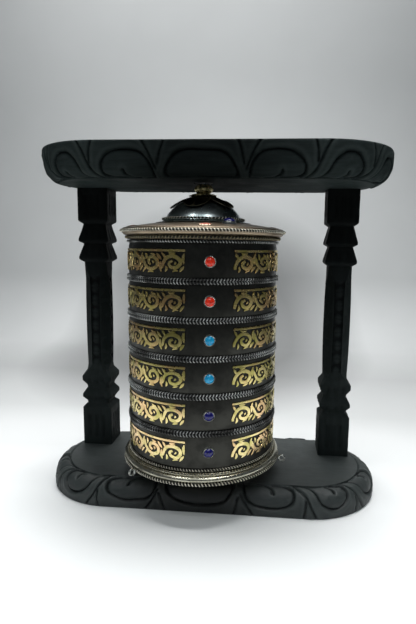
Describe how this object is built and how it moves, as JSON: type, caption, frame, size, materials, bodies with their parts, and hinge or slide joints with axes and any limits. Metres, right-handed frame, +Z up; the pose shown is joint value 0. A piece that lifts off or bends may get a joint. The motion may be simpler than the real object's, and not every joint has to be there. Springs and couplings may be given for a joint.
{
  "type": "tabletop prayer wheel",
  "caption": "Metal prayer drum with embossed bands and cabochon stones, turning on a fixed rod between two carved black wooden boards on square posts.",
  "frame": {"origin": "centre of the base board's underside, on the surface that the stand rests on", "axes": "+X to the right along the boards, +Y to the back, +Z up along the drum's axle"},
  "size_m": [0.302, 0.1519, 0.2995],
  "materials": {
    "black_wood": "black stain under satin lacquer, hand carved",
    "dark_metal": "blackened sheet metal and twisted wire, satin",
    "blued_metal": "dark blue-grey patina, polished",
    "oxidised_brass": "embossed strip, dark ground with bright raised ornament",
    "aged_silver": "aged white metal, polished on the high spots",
    "brass": "aged brass",
    "gold": "polished gilt brass",
    "steel": "plain steel",
    "coral": "polished coral-red cabochon",
    "turquoise": "polished turquoise-blue cabochon",
    "lapis": "polished deep-blue cabochon",
    "paper": "rolled paper, blank"
  },
  "bodies": {
    "stand": {"base_board": "black_wood", "top_board": "black_wood", "post_left": "black_wood", "post_right": "black_wood", "base_screw_left": "steel", "base_screw_right": "steel", "top_screw_left": "steel", "top_screw_right": "steel", "axle": "steel", "axle_nut": "steel", "upper_bush": "brass", "lower_pivot_cup": "brass", "lower_thrust_washer": "steel"},
    "drum": {"bottom_cover": "aged_silver", "bottom_separator_wire": "dark_metal", "dome": "blued_metal", "dome_bead_ring": "aged_silver", "drum_shell": "dark_metal", "finial_ball": "gold", "finial_flower": "brass", "frieze_band_1": "oxidised_brass", "frieze_band_2": "oxidised_brass", "frieze_band_3": "oxidised_brass", "frieze_band_4": "oxidised_brass", "frieze_band_5": "oxidised_brass", "frieze_band_6": "oxidised_brass", "inner_tube": "steel", "lid": "aged_silver", "lotus_collar": "dark_metal", "prayer_roll": "paper", "rim_loop_left": "steel", "rim_loop_right": "steel", "rim_rope_bottom": "aged_silver", "rim_rope_top": "aged_silver", "separator_wire_1": "dark_metal", "separator_wire_2": "dark_metal", "separator_wire_3": "dark_metal", "separator_wire_4": "dark_metal", "separator_wire_5": "dark_metal", "stone_1_1": "coral", "stone_1_2": "coral", "stone_1_3": "coral", "stone_2_1": "coral", "stone_2_2": "coral", "stone_2_3": "coral", "stone_3_1": "turquoise", "stone_3_2": "turquoise", "stone_3_3": "turquoise", "stone_4_1": "turquoise", "stone_4_2": "turquoise", "stone_4_3": "turquoise", "stone_5_1": "lapis", "stone_5_2": "lapis", "stone_5_3": "lapis", "stone_6_1": "lapis", "stone_6_2": "lapis", "stone_6_3": "lapis", "top_separator_wire": "dark_metal"}
  },
  "joints": [
    {"name": "drum_spin", "type": "hinge", "parent": "stand", "child": "drum", "pos_m": [-0.0073, -0.0185, 0.15], "axis": [0, 0, 1], "continuous": true}
  ]
}
